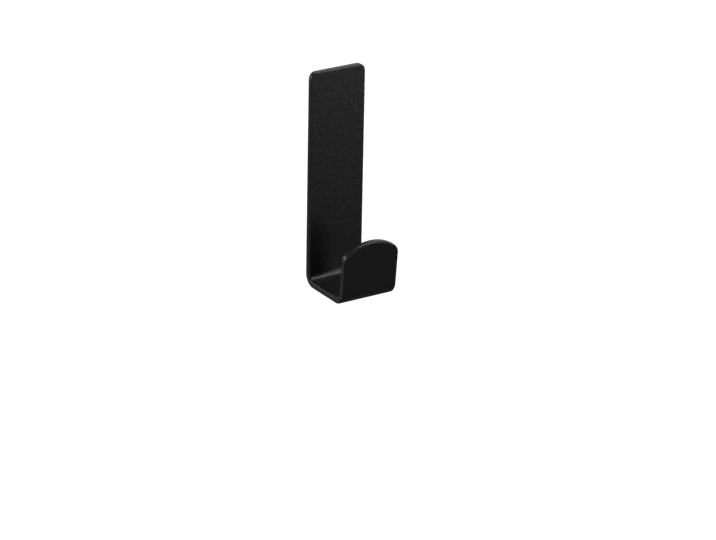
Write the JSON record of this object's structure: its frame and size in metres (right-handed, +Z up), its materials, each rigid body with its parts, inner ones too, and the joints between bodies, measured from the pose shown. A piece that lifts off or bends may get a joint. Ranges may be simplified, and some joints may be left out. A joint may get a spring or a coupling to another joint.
{
  "type": "adhesive hook",
  "caption": "J-shaped wall hook bent from one black coated steel strip, with a foam tape pad on the back of its plate that sticks it to a wall or door to hang a towel loop.",
  "frame": {"origin": "centre of the adhesive pad's outer face, on the wall's surface", "axes": "+Y into the wall, so the hook stands out towards -Y; +Z up the back plate; +X across the strip's width"},
  "size_m": [0.02, 0.0248, 0.072],
  "materials": {
    "black_coated_steel": "satin black powder coat with a fine, soft grain, over steel strip",
    "foam_tape": "matt dark grey acrylic foam tape with a slightly glossy adhesive face"
  },
  "bodies": {
    "root": {"hook_body": "black_coated_steel", "adhesive_pad": "foam_tape"}
  },
  "joints": []
}
